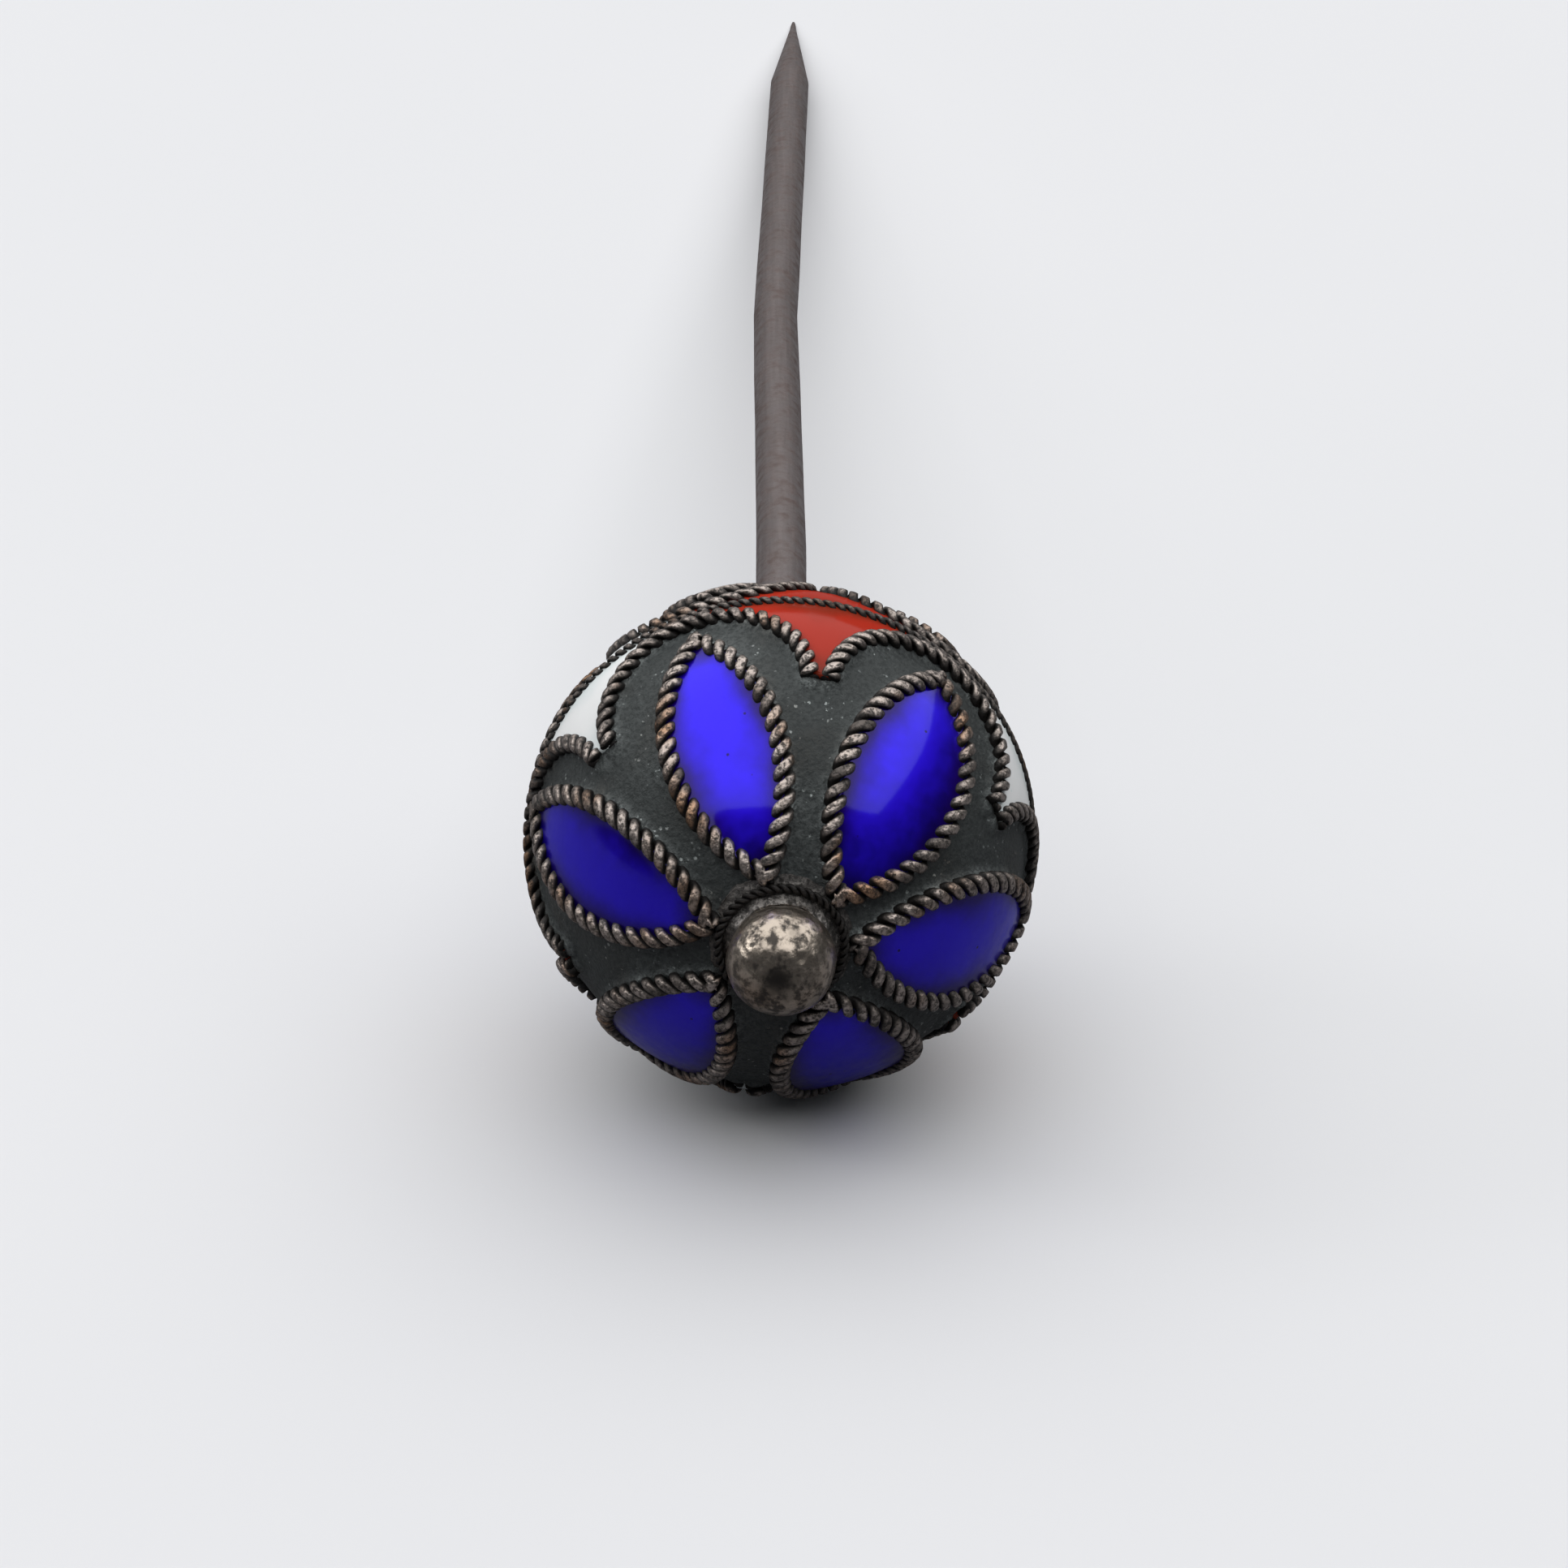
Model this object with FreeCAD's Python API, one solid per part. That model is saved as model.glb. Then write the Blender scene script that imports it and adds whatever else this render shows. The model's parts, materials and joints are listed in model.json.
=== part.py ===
import FreeCAD, Part
import math
import os

# A hat pin: a hollow silver ball with twisted-wire and enamel work on a plain steel pin.
# Millimetres and degrees. The pin lies along Y: the head at -Y, the point at +Y, +Z up.
# The origin is on the pin's axis where the steel leaves the collar behind the head.
# On the ball a place is given by its polar angle, from the nearer pole, and its turn,
# clockwise from +Z as seen from in front of the head.

# ---- driving dimensions ----
shell_radius = 6.0          # outside of the plain silver ball
shell_wall = 0.45           # sheet that the two domes are raised from
seam_offset = 0.30          # how far the seam lies behind the ball's middle

# Each twisted wire is drawn as its outer round, and its bed is how much of that round
# is melted into the shell.
petal_wire_radius = 0.27
petal_wire_bed = 0.09
scallop_wire_radius = 0.24
scallop_wire_bed = 0.08
seam_wire_radius = 0.17
seam_wire_bed = 0.02
wire_gap = 0.02             # between wires laid side by side

# Turns, polar places, gaps and half widths are angles along the ball.
first_petal_turn = -19.0
petal_tip_gap = 10.3        # from its outer tip to the crown of the scallop round it
# How each front petal was set by hand: extra turn, lean about its middle, half width.
front_petals = (
    (1.3, 3.2, 12.4),
    (-0.2, 4.0, 14.4),
    (0.3, -5.0, 14.5),
    (-2.0, -8.0, 15.5),
    (-1.3, 10.6, 14.2),
    (3.5, 1.5, 13.0),
)
rear_petal_half_width = 13.5

first_scallop_turn = -20.5
scallop_end_polar = 63.5    # where the cut ends of two scallops lie side by side
petal_enamel_depth = 0.22
spandrel_enamel_depth = 0.20

finial_radius = 1.32
finial_height = 0.90        # middle of the finial ball above the shell
finial_bore_depth = 0.65    # how far the pin's tang goes into the finial ball
finial_base_radius = 1.78
petal_tip_cover = 0.025     # how far the petals' inner tips run in under the base's edge
finial_base_height = 0.30   # top of the base above the shell
finial_base_edge = 0.08     # thickness of the base at its rim
finial_ring_radius = 1.50   # wire ring bedded in the base, to its centreline
finial_ring_wire_radius = 0.12
finial_ring_height = 0.10   # its centreline above the shell's pole

pin_radius = 0.725
tang_radius = 0.50          # the pin is filed down where it runs through the head
collar_length = 1.2         # from the shell's pole to the origin
collar_radius = 1.15
collar_foot_radius = 1.7
collar_foot_height = 0.35
collar_nose = 0.25          # bevel at the collar's far edge

# The pin behind the collar: straight runs with a slight turn after each but the last.
pin_runs = (13.0, 16.5, 26.3)
pin_turns = (-0.6, 1.65)
pin_bend_radius = 150.0
point_length = 9.0
point_tip_radius = 0.06

# ---- derived places ----
# The radii that the wires' centrelines lie on.
petal_track = shell_radius + petal_wire_radius - petal_wire_bed
scallop_track = shell_radius + scallop_wire_radius - scallop_wire_bed
seam_track = shell_radius + seam_wire_radius - seam_wire_bed
head_centre = FreeCAD.Vector(0, -(shell_radius + collar_length), 0)
pin_axis = FreeCAD.Vector(0, 1, 0)
turn_step = 360.0 / len(front_petals)
seam_centre = head_centre + pin_axis * seam_offset
# The petals' inner tips are held under the finial's base, however large the ball is.
petal_inner_polar = math.degrees(math.asin((finial_base_radius - petal_tip_cover) / petal_track))
# The scallops' crowns lie against the seam wire, and their ends against each other.
crown_step = scallop_wire_radius + seam_wire_radius + wire_gap
end_circle_radius = scallop_track * math.sin(math.radians(scallop_end_polar))
end_step = scallop_wire_radius + wire_gap / 2
scallop_end_turn = turn_step / 2 - math.degrees(math.asin(end_step / end_circle_radius))
# The finial ball sinks into a hole in the front dome that just lets it through.
finial_distance = shell_radius + finial_height
seat_distance = (finial_distance**2 + shell_radius**2 - finial_radius**2) / (2 * finial_distance)
finial_seat_radius = math.sqrt(shell_radius**2 - seat_distance**2)
# How far in front of the ball's middle the pin's tang ends.
tang_end_distance = finial_distance - finial_radius + finial_bore_depth
far = 4 * shell_radius      # size of the blocks that halve a shape


def on_ball(polar, turn, radius):
    """A point over the front half of the ball."""
    p, t = math.radians(polar), math.radians(turn)
    return head_centre + FreeCAD.Vector(
        radius * math.sin(p) * math.sin(t), -radius * math.cos(p), radius * math.sin(p) * math.cos(t)
    )


def along_axis(distance, out=0.0):
    """A point in the X = 0 plane, that far in front of the ball's middle and out from the axis."""
    return head_centre + FreeCAD.Vector(0, -distance, out)


def turned(shape, turn):
    """A copy turned about the head's axis."""
    return shape.copy().rotate(head_centre, pin_axis, turn)


def mirrored(shape):
    """The same piece on the rear half of the ball."""
    return shape.mirror(head_centre, pin_axis)


def revolved(profile):
    """A full turn of a closed outline of (distance, out) corners about the head's axis."""
    corners = [along_axis(distance, out) for distance, out in profile]
    face = Part.Face(Part.makePolygon(corners + corners[:1]))
    return face.revolve(head_centre, pin_axis, 360)


def ball(radius):
    return Part.makeSphere(radius, head_centre, pin_axis)


# The pattern is drawn on the front half, and mirrored for the rear, where the seam is then
# on the other side of the ball's middle. So it takes the seam's distance in front of that.
def crown_polar(seam_distance):
    """Where a scallop's crown lies against the seam wire."""
    return math.degrees(math.acos((seam_distance + crown_step) / scallop_track))


def circle_through(a, b, c):
    """Centre, unit normal and radius of the circle through three points."""
    circle = Part.Arc(a, b, c).toShape().Curve
    return circle.Center, circle.Axis, circle.Radius


def block_beyond(point, normal):
    """A large block whose one face passes through point, on the side that normal points to."""
    block = Part.makeBox(2 * far, 2 * far, far, FreeCAD.Vector(-far, -far, 0))
    block.Placement = FreeCAD.Placement(point, FreeCAD.Rotation(FreeCAD.Vector(0, 0, 1), normal))
    return block


def facing(direction, way):
    """The direction or its opposite, whichever points the given way."""
    return direction if direction.dot(way) > 0 else -direction


def largest(shape):
    """The largest solid of a shape, without the slivers that a cut can leave."""
    return max(shape.Solids, key=lambda solid: solid.Volume)


# ---- the two domes and the wire over their seam ----
def dome(way):
    """The hollow ball on the side of the seam that way points to."""
    return ball(shell_radius).cut(ball(shell_radius - shell_wall)).common(block_beyond(seam_centre, way))


def front_shell():
    hole = Part.makeCylinder(finial_seat_radius, 2 * shell_radius, head_centre, -pin_axis)
    return dome(-pin_axis).cut(hole)


def rear_shell():
    hole = Part.makeCylinder(tang_radius, 2 * shell_radius, head_centre, pin_axis)
    return dome(pin_axis).cut(hole)


def seam_round(seam_distance):
    """The seam wire's whole round, that far in front of the ball's middle."""
    ring_radius = math.sqrt(seam_track**2 - seam_distance**2)
    return Part.makeTorus(ring_radius, seam_wire_radius, along_axis(seam_distance), pin_axis)


def seam_wire():
    return seam_round(-seam_offset).cut(ball(shell_radius))


# ---- petals: a loop of two arcs of twisted wire, and the enamel inside it ----
def petal_places(seam_distance):
    """The inner tip, the middle and the outer tip of a petal at turn 0."""
    outer_polar = crown_polar(seam_distance) - petal_tip_gap
    polars = (petal_inner_polar, (petal_inner_polar + outer_polar) / 2, outer_polar)
    return [on_ball(polar, 0, petal_track) for polar in polars]


def petal_sides(seam_distance, half_width):
    """The circles that the two sides of a petal lie on."""
    inner, middle, outer = petal_places(seam_distance)
    sides = []
    for hand in (-1, 1):
        swing = FreeCAD.Rotation(outer - inner, hand * half_width)
        bulge = head_centre + swing.multVec(middle - head_centre)
        sides.append((hand, circle_through(inner, bulge, outer)))
    return sides


def petal_wire(seam_distance, half_width):
    """Both sides are mitred where they meet, on the petal's middle plane."""
    halves = []
    for hand, (centre, normal, radius) in petal_sides(seam_distance, half_width):
        loop = Part.makeTorus(radius, petal_wire_radius, centre, normal)
        halves.append(loop.common(block_beyond(head_centre, FreeCAD.Vector(hand, 0, 0))))
    return halves[0].fuse(halves[1]).cut(ball(shell_radius)).removeSplitter()


def petal_enamel(seam_distance, half_width):
    glass = ball(shell_radius + petal_enamel_depth).cut(ball(shell_radius))
    middle = petal_places(seam_distance)[1]
    for hand, (centre, normal, radius) in petal_sides(seam_distance, half_width):
        glass = glass.common(block_beyond(centre, facing(normal, middle - centre)))
        glass = glass.cut(Part.makeTorus(radius, petal_wire_radius, centre, normal))
    return largest(glass)


def set_front_petal(shape, extra_turn, lean, index):
    """A front petal's wire or enamel leaned about its middle and turned to its place."""
    middle = petal_places(-seam_offset)[1]
    leaned = shape.copy().rotate(head_centre, middle - head_centre, lean)
    return turned(leaned, first_petal_turn + index * turn_step + extra_turn)


# ---- scallops: arches of twisted wire, and the enamel between them and the seam ----
def scallop_places(seam_distance):
    """The first end, the crown and the second end of an arch at turn 0."""
    return (
        on_ball(scallop_end_polar, -scallop_end_turn, scallop_track),
        on_ball(crown_polar(seam_distance), 0, scallop_track),
        on_ball(scallop_end_polar, scallop_end_turn, scallop_track),
    )


def scallop_wire(seam_distance):
    """One arch at turn 0, cut square at both ends."""
    start, crown, end = scallop_places(seam_distance)
    centre, normal, radius = circle_through(start, crown, end)
    way = facing(normal.cross(start - centre), crown - start)
    normal = (start - centre).cross(way).normalize()
    swept = math.degrees((start - centre).getAngle(crown - centre) + (crown - centre).getAngle(end - centre))
    section = Part.Face(Part.Wire(Part.makeCircle(scallop_wire_radius, start, way)))
    return section.revolve(centre, normal, swept).cut(ball(shell_radius))


def spandrel_enamel(seam_distance):
    """The enamel between the seam and the two scallops that meet at turn 0."""
    glass = ball(shell_radius + spandrel_enamel_depth).cut(ball(shell_radius))
    glass = glass.common(block_beyond(along_axis(seam_distance), -pin_axis))
    # Nothing above the level of the scallops' ends.
    ends = along_axis(scallop_track * math.cos(math.radians(scallop_end_polar)))
    glass = glass.common(block_beyond(ends, pin_axis))
    centre, normal, radius = circle_through(*scallop_places(seam_distance))
    for hand in (-1, 1):
        turn = FreeCAD.Rotation(pin_axis, hand * turn_step / 2)
        arch_centre = head_centre + turn.multVec(centre - head_centre)
        arch_normal = facing(turn.multVec(normal), on_ball(90, 0, scallop_track) - arch_centre)
        glass = glass.common(block_beyond(arch_centre, arch_normal))
        glass = glass.cut(Part.makeTorus(radius, scallop_wire_radius, arch_centre, arch_normal))
        glass = glass.common(block_beyond(head_centre, turn.multVec(FreeCAD.Vector(-hand, 0, 0))))
    return largest(glass.cut(seam_round(seam_distance)))


# ---- the finial ----
def finial_round():
    return Part.makeSphere(finial_radius, along_axis(finial_distance), pin_axis)


def finial_ball():
    bore = Part.makeCylinder(tang_radius, tang_end_distance, head_centre, -pin_axis)
    return finial_round().cut(bore)


def finial_ring():
    ring_centre = along_axis(shell_radius + finial_ring_height)
    return Part.makeTorus(finial_ring_radius, finial_ring_wire_radius, ring_centre, pin_axis)


def finial_base():
    """A low cone of solder that fills the corner between the finial ball and the dome."""
    rim_distance = math.sqrt(shell_radius**2 - finial_base_radius**2)
    top_distance = shell_radius + finial_base_height
    top_radius = math.sqrt(finial_radius**2 - (finial_distance - top_distance) ** 2)
    outline = [
        (seat_distance - shell_wall, 0.0),
        (rim_distance, finial_base_radius),
        (rim_distance + finial_base_edge, finial_base_radius),
        (top_distance, top_radius),
        (top_distance, 0.0),
    ]
    return largest(revolved(outline).cut(ball(shell_radius)).cut(finial_round()).cut(finial_ring()))


# ---- the collar behind the head and the pin ----
def rear_collar():
    back = -(shell_radius + collar_length)
    outline = [
        (0.0, 0.0),
        (-math.sqrt(shell_radius**2 - collar_foot_radius**2), collar_foot_radius),
        (-(shell_radius + collar_foot_height), collar_radius),
        (back + collar_nose, collar_radius),
        (back, collar_radius - collar_nose),
        (back, 0.0),
    ]
    bore = Part.makeCylinder(tang_radius, 2 * shell_radius, head_centre, pin_axis)
    return largest(revolved(outline).cut(ball(shell_radius)).cut(bore))


def pin_path():
    """Start, direction and length of each straight run, and where each bend starts and turns."""
    place, heading = FreeCAD.Vector(0, 0, 0), FreeCAD.Vector(pin_axis)
    runs, bends = [], []
    for index, length in enumerate(pin_runs):
        runs.append((place, heading, length))
        place = place + heading * length
        if index < len(pin_turns):
            turn = pin_turns[index]
            # A positive turn swings the pin towards +X, about an upright axis.
            side = FreeCAD.Vector(heading.y, -heading.x, 0) * math.copysign(1, turn)
            centre = place + side * pin_bend_radius
            bends.append((place, heading, centre, turn))
            swing = FreeCAD.Rotation(FreeCAD.Vector(0, 0, -1), turn)
            place = centre + swing.multVec(place - centre)
            heading = swing.multVec(heading)
    return runs, bends, place, heading


def pin():
    """The tang through the head, its shoulder on the collar at the origin, and the pin itself."""
    tang_start = along_axis(tang_end_distance)
    tang = Part.makeCylinder(tang_radius, -tang_start.y, tang_start, pin_axis)
    runs, bends, point_start, heading = pin_path()
    solids = [Part.makeCylinder(pin_radius, length, start, way) for start, way, length in runs]
    for start, way, centre, turn in bends:
        section = Part.Face(Part.Wire(Part.makeCircle(pin_radius, start, way)))
        solids.append(section.revolve(centre, FreeCAD.Vector(0, 0, -1), turn))
    solids.append(Part.makeCone(pin_radius, point_tip_radius, point_length, point_start, heading))
    return tang.fuse(solids).removeSplitter()


def build():
    nodes = {
        "front_shell": front_shell(),
        "rear_shell": rear_shell(),
        "seam_wire": seam_wire(),
        "finial_ball": finial_ball(),
        "finial_base": finial_base(),
        "finial_ring": finial_ring(),
        "rear_collar": rear_collar(),
        "pin": pin(),
    }
    # Petal tips that reach the solder of the finial or of the collar end in it.
    front_solder = nodes["finial_base"].fuse(nodes["finial_ring"])
    rear_loop = mirrored(petal_wire(seam_offset, rear_petal_half_width))
    rear_glass = mirrored(petal_enamel(seam_offset, rear_petal_half_width))
    front_arch = scallop_wire(-seam_offset)
    rear_arch = mirrored(scallop_wire(seam_offset))
    front_spandrel = spandrel_enamel(-seam_offset)
    rear_spandrel = mirrored(spandrel_enamel(seam_offset))
    for index, (extra_turn, lean, half_width) in enumerate(front_petals):
        number = index + 1
        petal_turn = first_petal_turn + index * turn_step
        arch_turn = first_scallop_turn + index * turn_step
        meeting_turn = arch_turn + turn_step / 2
        front_loop = set_front_petal(petal_wire(-seam_offset, half_width), extra_turn, lean, index)
        front_glass = set_front_petal(petal_enamel(-seam_offset, half_width), extra_turn, lean, index)
        nodes[f"front_petal_wire_{number}"] = largest(front_loop.cut(front_solder))
        nodes[f"front_petal_enamel_{number}"] = front_glass
        nodes[f"front_scallop_wire_{number}"] = turned(front_arch, arch_turn)
        nodes[f"front_spandrel_enamel_{number}"] = turned(front_spandrel, meeting_turn)
        nodes[f"rear_petal_wire_{number}"] = largest(turned(rear_loop, petal_turn).cut(nodes["rear_collar"]))
        nodes[f"rear_petal_enamel_{number}"] = turned(rear_glass, petal_turn)
        nodes[f"rear_scallop_wire_{number}"] = turned(rear_arch, arch_turn)
        nodes[f"rear_spandrel_enamel_{number}"] = turned(rear_spandrel, meeting_turn)
    return nodes


def export(nodes):
    os.makedirs("parts", exist_ok=True)
    for name, shape in nodes.items():
        shape.exportStep(f"parts/{name}.step")
        solids = len(shape.Solids)
        print(f"{name}: {solids} solid(s), {shape.Volume:.3f} mm3, valid {shape.isValid()}")


export(build())
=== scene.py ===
# %% [markdown]
# # A hat pin with a filigree and enamel head
# The real object is a hollow silver ball, raised from two domes and soldered to a steel pin.
# Twisted wire is soldered over the ball in petals and scallops, and powdered glass is melted
# into the cells that the wires make. The fixed design is loaded first, and everything that
# this script adds is measured from it.

# %% Load the fixed design
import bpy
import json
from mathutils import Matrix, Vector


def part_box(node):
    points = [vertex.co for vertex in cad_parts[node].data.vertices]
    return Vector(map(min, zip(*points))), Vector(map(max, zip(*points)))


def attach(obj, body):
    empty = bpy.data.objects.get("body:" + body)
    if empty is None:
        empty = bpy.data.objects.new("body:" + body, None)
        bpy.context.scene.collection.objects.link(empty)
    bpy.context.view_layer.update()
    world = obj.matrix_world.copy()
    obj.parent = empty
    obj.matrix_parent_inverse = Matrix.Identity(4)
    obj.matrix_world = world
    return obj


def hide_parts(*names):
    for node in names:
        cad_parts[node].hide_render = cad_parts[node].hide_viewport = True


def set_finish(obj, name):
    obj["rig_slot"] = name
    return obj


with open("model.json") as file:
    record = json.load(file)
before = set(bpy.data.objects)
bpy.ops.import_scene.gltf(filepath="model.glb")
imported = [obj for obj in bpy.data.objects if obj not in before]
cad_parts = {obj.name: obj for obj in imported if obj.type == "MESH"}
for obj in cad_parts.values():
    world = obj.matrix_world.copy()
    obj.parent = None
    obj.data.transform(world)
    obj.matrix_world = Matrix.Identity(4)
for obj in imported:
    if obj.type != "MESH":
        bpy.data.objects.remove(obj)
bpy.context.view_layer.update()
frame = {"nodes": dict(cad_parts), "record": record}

# %% Other tools
import json
import math
import bmesh
import bpy
from mathutils import Matrix, Vector, noise
from mathutils.kdtree import KDTree

mm = 0.001
print("one millimetre in metres:", mm)

# %% [markdown]
# ## Where the ball is
# The front dome has a round hole for the finial. The foremost corner of the dome is on the
# rim of that hole, so with the ball's radius it gives the middle of the ball.

# %% Measure the ball
shell_low, shell_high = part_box("front_shell")
shell_radius = (shell_high.x - shell_low.x) / 2
rim = min((v.co for v in frame["nodes"]["front_shell"].data.vertices), key=lambda co: co.y)
head_centre = Vector((0, rim.y + math.sqrt(shell_radius**2 - rim.x**2 - rim.z**2), 0))
seam_low, seam_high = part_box("seam_wire")
seam_y = (seam_low.y + seam_high.y) / 2
seam_offset = seam_y - head_centre.y
print("ball radius, mm:", round(shell_radius / mm, 3), "middle at y:", round(head_centre.y / mm, 3))


# %% [markdown]
# ## Places on the ball
# A place is a polar angle from the nearer pole and a turn about the pin, clockwise from the
# top as seen from the finial. The rear half is the front half's mirror image.

# %% Places on the ball
def on_ball(polar, turn, radius, side=1):
    """A point over the front half of the ball, or over the rear half where side is -1."""
    p, t = math.radians(polar), math.radians(turn)
    out = Vector((math.sin(p) * math.sin(t), -side * math.cos(p), math.sin(p) * math.cos(t)))
    return head_centre + radius * out


def outward(point):
    return (point - head_centre).normalized()


poles = [on_ball(0, 0, shell_radius, side).y / mm for side in (1, -1)]
print("the ball's poles, mm along the pin:", [round(y, 2) for y in poles])


# %% [markdown]
# ## The pattern
# Six petals stand round each pole, with six scallops outside them. The goldsmith set the
# front petals by eye, so each has its own extra turn, lean and half width, as in the design.

# %% The pattern's sizes
# A wire's bed is how much of its round is melted into the ball.
petal_wire_radius = 0.27 * mm
petal_wire_bed = 0.09 * mm
scallop_wire_radius = 0.24 * mm
scallop_wire_bed = 0.08 * mm
seam_wire_radius = 0.17 * mm
wire_gap = 0.02 * mm
petal_track = shell_radius + petal_wire_radius - petal_wire_bed
scallop_track = shell_radius + scallop_wire_radius - scallop_wire_bed

# Turns, polar places and gaps are in degrees.
first_petal_turn = -19.0
first_scallop_turn = -20.5
petal_inner_polar = 16.5
petal_tip_gap = 10.3
scallop_end_polar = 63.5
# How each petal was set: extra turn, lean about its middle, half width.
front_petals = (
    (1.3, 3.2, 12.4),
    (-0.2, 4.0, 14.4),
    (0.3, -5.0, 14.5),
    (-2.0, -8.0, 15.5),
    (-1.3, 10.6, 14.2),
    (3.5, 1.5, 13.0),
)
petal_count = len(front_petals)
petal_step = 360 / petal_count
rear_petals = ((0.0, 0.0, 13.5),) * petal_count
halves_of_ball = ((1, "front"), (-1, "rear"))
crown_step = scallop_wire_radius + seam_wire_radius + wire_gap
end_step = scallop_wire_radius + wire_gap / 2
end_circle = scallop_track * math.sin(math.radians(scallop_end_polar))
scallop_end_turn = petal_step / 2 - math.degrees(math.asin(end_step / end_circle))


def crown_polar(side):
    """Where a scallop's crown lies against the seam wire, which is nearer the rear pole."""
    return math.degrees(math.acos((crown_step - side * seam_offset) / scallop_track))


print("crowns, degrees from the poles:", [round(crown_polar(side), 1) for side in (1, -1)])


# %% [markdown]
# ## Arcs
# Every wire on the ball is an arc of a circle. Three points fix it, and a distance along the
# arc then gives a place and the wire's direction there.

# %% Arcs
class Arc:
    """The arc of a circle from start through middle to end."""

    def __init__(self, start, middle, end):
        a, b = middle - start, end - start
        normal = a.cross(b)
        offset = normal.cross(a) * b.length_squared + b.cross(normal) * a.length_squared
        self.centre = start + offset / (2 * normal.length_squared)
        self.normal = normal.normalized()
        self.start = start - self.centre
        self.radius = self.start.length
        to_middle, to_end = middle - self.centre, end - self.centre
        self.length = (to_middle.angle(self.start) + to_end.angle(to_middle)) * self.radius

    def at(self, distance):
        """Place, direction and way out of the ball at a distance along the arc."""
        turn = Matrix.Rotation(distance / self.radius, 3, self.normal)
        place = self.centre + turn @ self.start
        along = self.normal.cross(turn @ self.start).normalized()
        return place, along, outward(place)


def moved(point, lean_axis, lean, turn):
    """A point turned about the petal's middle and then about the pin."""
    point = Matrix.Rotation(math.radians(lean), 3, lean_axis) @ (point - head_centre)
    return head_centre + Matrix.Rotation(math.radians(turn), 3, "Y") @ point


def petal_arcs(side, index):
    """The two sides of a petal, both from the inner tip to the outer tip."""
    extra_turn, lean, half_width = (front_petals if side > 0 else rear_petals)[index]
    outer_polar = crown_polar(side) - petal_tip_gap
    inner = on_ball(petal_inner_polar, 0, petal_track, side)
    middle = on_ball((petal_inner_polar + outer_polar) / 2, 0, petal_track, side)
    outer = on_ball(outer_polar, 0, petal_track, side)
    turn = first_petal_turn + index * petal_step + extra_turn
    arcs = []
    for hand in (-1, 1):
        swing = Matrix.Rotation(hand * math.radians(half_width), 3, outer - inner)
        bulge = head_centre + swing @ (middle - head_centre)
        arcs.append(Arc(*(moved(p, outward(middle), lean, turn) for p in (inner, bulge, outer))))
    return arcs


def scallop_arc(side, index):
    turn = first_scallop_turn + index * petal_step
    return Arc(
        on_ball(scallop_end_polar, turn - scallop_end_turn, scallop_track, side),
        on_ball(crown_polar(side), turn, scallop_track, side),
        on_ball(scallop_end_polar, turn + scallop_end_turn, scallop_track, side),
    )


print("a scallop's length, mm:", round(scallop_arc(1, 0).length / mm, 2))


# %% [markdown]
# ## Making an object from a mesh
# Each finished mesh becomes an object at the origin that rides with the pin, stands for its
# piece of the design and takes that piece's material slot.

# %% From mesh to piece
slots = {part["node"]: part["material_slot"] for part in frame["record"]["subparts"]}


def make_piece(name, bm, node):
    bmesh.ops.recalc_face_normals(bm, faces=bm.faces)
    for face in bm.faces:
        face.smooth = True
    mesh = bpy.data.meshes.new(name)
    bm.to_mesh(mesh)
    bm.free()
    piece = bpy.data.objects.new(name, mesh)
    bpy.context.scene.collection.objects.link(piece)
    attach(piece, "root")
    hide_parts(node)
    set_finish(piece, slots[node])
    return piece


print("finishes in the design:", sorted(set(slots.values())))


# %% [markdown]
# ## Twisted wire
# The goldsmith doubles a fine wire and twists it, so two strands wind round each other. A spin
# with a step along its axis could screw a ring into a strand, but it slows down as the strand
# grows. Here each strand starts as a straight cylinder, its long edges are cut into short
# steps, and every ring of corners is turned by its height. That is also how the real wire is
# made. The straight rope is then laid along its arc, and its top is worn down.

# %% Twist a straight rope
widest_slant = 1.45


def straight_rope(bm, length, radius, pitch, ring_corners, steps_per_turn, start_turn=0.0):
    """Makes two strands along +Z, closed at both ends, in an empty bmesh."""
    strand = radius / 2
    # A strand crosses the rope's section at a slant, which makes it wider round the rope.
    slant = min(math.hypot(1, 2 * math.pi * strand / pitch), widest_slant)
    steps = max(4, round(steps_per_turn * length / pitch))
    for half_turn in (0, math.pi):
        place = Matrix.Rotation(half_turn, 4, "Z") @ Matrix.Translation((strand, 0, length / 2))
        wire = bmesh.ops.create_cone(
            bm,
            cap_ends=True,
            segments=ring_corners,
            radius1=strand,
            radius2=strand,
            depth=length,
            matrix=place @ Matrix.Diagonal((1, slant, 1, 1)),
        )
        edges = {edge for corner in wire["verts"] for edge in corner.link_edges}
        long_edges = [edge for edge in edges if edge.calc_length() > 0.99 * length]
        bmesh.ops.subdivide_edges(bm, edges=long_edges, cuts=steps - 1)
    for corner in bm.verts:
        turn = start_turn + 2 * math.pi * corner.co.z / pitch
        corner.co = Matrix.Rotation(turn, 3, "Z") @ corner.co


# %% Lay a rope along an arc
hand_wander = 0.030 * mm    # how far a hand-laid wire strays from its line
wander_length = 1.6 * mm
worn_share = 0.78           # the rope is worn down above this share of its radius
left_standing = 0.35        # share of that height which the wear has left
side_rub = 0.45             # how much a strand is rubbed at its side, against 1 on its top


def joined(bms):
    """One bmesh from several."""
    whole = bmesh.new()
    for bm in bms:
        mesh = bpy.data.meshes.new("part")
        bm.to_mesh(mesh)
        bm.free()
        whole.from_mesh(mesh)
        bpy.data.meshes.remove(mesh)
    return whole


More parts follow.
